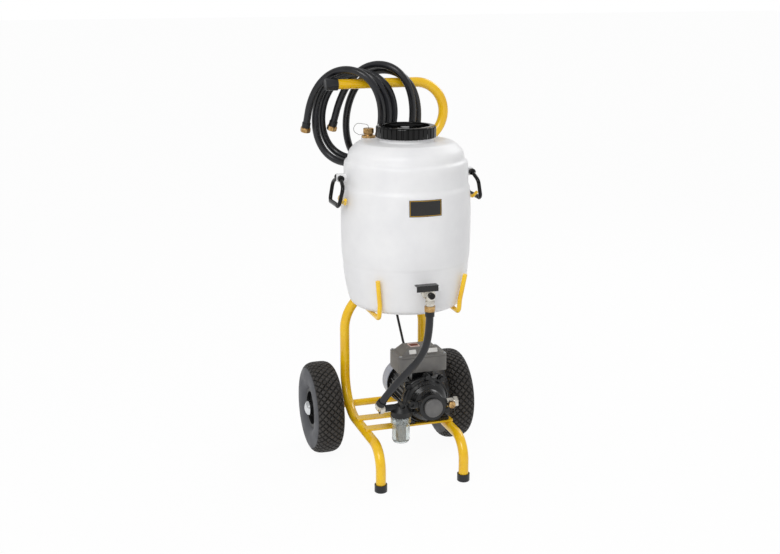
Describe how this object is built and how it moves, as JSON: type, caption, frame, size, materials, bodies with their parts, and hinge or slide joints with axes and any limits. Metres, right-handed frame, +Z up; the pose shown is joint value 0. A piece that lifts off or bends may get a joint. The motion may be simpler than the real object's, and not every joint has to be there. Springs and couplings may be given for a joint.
{
  "type": "filling and flushing cart",
  "caption": "Two-wheeled tube cart with a translucent screw-lid tank, ball valve, filter, motor-driven pump and black hoses hung over the handle.",
  "frame": {"origin": "middle of the bounding box on the floor", "axes": "+Z up, +Y from the feet and the valve towards the wheels and the handle, +X to the right seen from the front"},
  "size_m": [0.483, 0.5557, 1.1006],
  "materials": {
    "yellow_paint": "gloss",
    "black_paint": "satin",
    "grey_paint": "satin",
    "zinc": "satin",
    "chrome": "gloss",
    "nickel": "gloss",
    "brass": "satin",
    "tyre": "matte",
    "rubber": "matte",
    "black_plastic": "satin",
    "grey_plastic": "satin",
    "tank_plastic": "satin",
    "clear_plastic": "gloss",
    "red_plastic": "gloss"
  },
  "bodies": {
    "cart": {"frame_tube": "yellow_paint", "handle_tube": "yellow_paint", "handle_end_cap": "rubber", "foot_cap_left": "rubber", "foot_cap_right": "rubber", "axle": "yellow_paint", "crossbar_middle": "yellow_paint", "crossbar_front": "yellow_paint", "tank_cradle": "yellow_paint", "tank_hoop": "yellow_paint", "hub_cap_left": "chrome", "hub_cap_right": "chrome", "tank_body": "tank_plastic", "return_port": "brass", "cap_lanyards": "zinc", "valve_body": "brass", "outlet_elbow": "nickel", "valve_front_plug": "black_plastic", "union_nut": "brass", "filter_head": "black_plastic", "filter_inlet_nut": "nickel", "motor_housing": "black_paint", "fan_cowl": "grey_paint", "pump_housing": "black_paint", "pump_cover": "grey_plastic", "housing_screws": "black_paint", "outlet_fitting": "nickel", "junction_box": "grey_plastic", "junction_lid": "grey_plastic", "cable_gland": "black_plastic", "suction_hose": "rubber", "suction_hose_ferrules": "black_plastic", "mains_cord": "rubber", "mains_cord_coil": "rubber", "mains_plug": "black_plastic", "flushing_hose_left": "rubber", "flushing_hose_right": "rubber", "flushing_hose_ends": "brass"},
    "wheel_left": {"tyre_left": "tyre", "rim_left": "black_plastic", "wheel_bearings_left": "zinc"},
    "wheel_right": {"tyre_right": "tyre", "rim_right": "black_plastic", "wheel_bearings_right": "zinc"},
    "lid": {"lid_disc": "black_plastic", "lid_seal": "rubber"},
    "lid_ring": {"lid_ring": "black_plastic"},
    "return_cap": {"return_cap": "brass"},
    "outlet_cap": {"outlet_cap": "brass"},
    "tank_handle_left": {"tank_handle_left": "black_plastic"},
    "tank_handle_right": {"tank_handle_right": "black_plastic"},
    "valve": {"valve_handle": "black_paint", "valve_ball": "chrome"},
    "filter_bowl": {"filter_bowl": "clear_plastic", "filter_strainer": "zinc", "filter_collar": "clear_plastic"},
    "rotor": {"rotor_shaft": "zinc", "motor_fan": "black_plastic", "pump_impeller": "brass"},
    "switch": {"power_switch": "red_plastic"}
  },
  "joints": [
    {"name": "wheel_left_spin", "type": "hinge", "parent": "cart", "child": "wheel_left", "pos_m": [-0.1935, 0.13028, 0.13], "axis": [1, 0, 0], "continuous": true},
    {"name": "wheel_right_spin", "type": "hinge", "parent": "cart", "child": "wheel_right", "pos_m": [0.1935, 0.13028, 0.13], "axis": [1, 0, 0], "continuous": true},
    {"name": "lid_lift", "type": "slide", "parent": "cart", "child": "lid", "axis": [0, 0, 1], "range_m": [0, 0.012]},
    {"name": "lid_turn", "type": "hinge", "parent": "lid", "child": "lid_ring", "pos_m": [0, -0.04727, 0.93], "axis": [0, 0, 1], "range_deg": [0, 720]},
    {"name": "return_cap_turn", "type": "hinge", "parent": "cart", "child": "return_cap", "pos_m": [-0.076, 0.03873, 0.93], "axis": [0, 0, 1], "range_deg": [0, 360]},
    {"name": "outlet_cap_turn", "type": "hinge", "parent": "cart", "child": "outlet_cap", "pos_m": [0.1015, -0.12973, 0.20025], "axis": [0, -1, 0], "range_deg": [0, 360]},
    {"name": "tank_handle_left_swing", "type": "hinge", "parent": "cart", "child": "tank_handle_left", "pos_m": [-0.181, -0.04727, 0.82], "axis": [0, 1, 0], "range_deg": [0, 110]},
    {"name": "tank_handle_right_swing", "type": "hinge", "parent": "cart", "child": "tank_handle_right", "pos_m": [0.181, -0.04727, 0.82], "axis": [0, -1, 0], "range_deg": [0, 110]},
    {"name": "valve_turn", "type": "hinge", "parent": "cart", "child": "valve", "pos_m": [0, -0.24222, 0.543], "axis": [0, 0, 1], "range_deg": [0, 90]},
    {"name": "bowl_turn", "type": "hinge", "parent": "cart", "child": "filter_bowl", "pos_m": [-0.04, -0.13173, 0.17], "axis": [0, 0, -1], "range_deg": [0, 60]},
    {"name": "rotor_spin", "type": "hinge", "parent": "cart", "child": "rotor", "pos_m": [0.047, 0, 0.19825], "axis": [0, 1, 0], "continuous": true},
    {"name": "switch_rock", "type": "hinge", "parent": "cart", "child": "switch", "pos_m": [0.033, -0.01972, 0.32755], "axis": [1, 0, 0], "range_deg": [0, 14]}
  ],
  "couplings": [
    {"joint": "lid_lift", "follows": "lid_turn", "m_per_rad": 0.0009549}
  ]
}
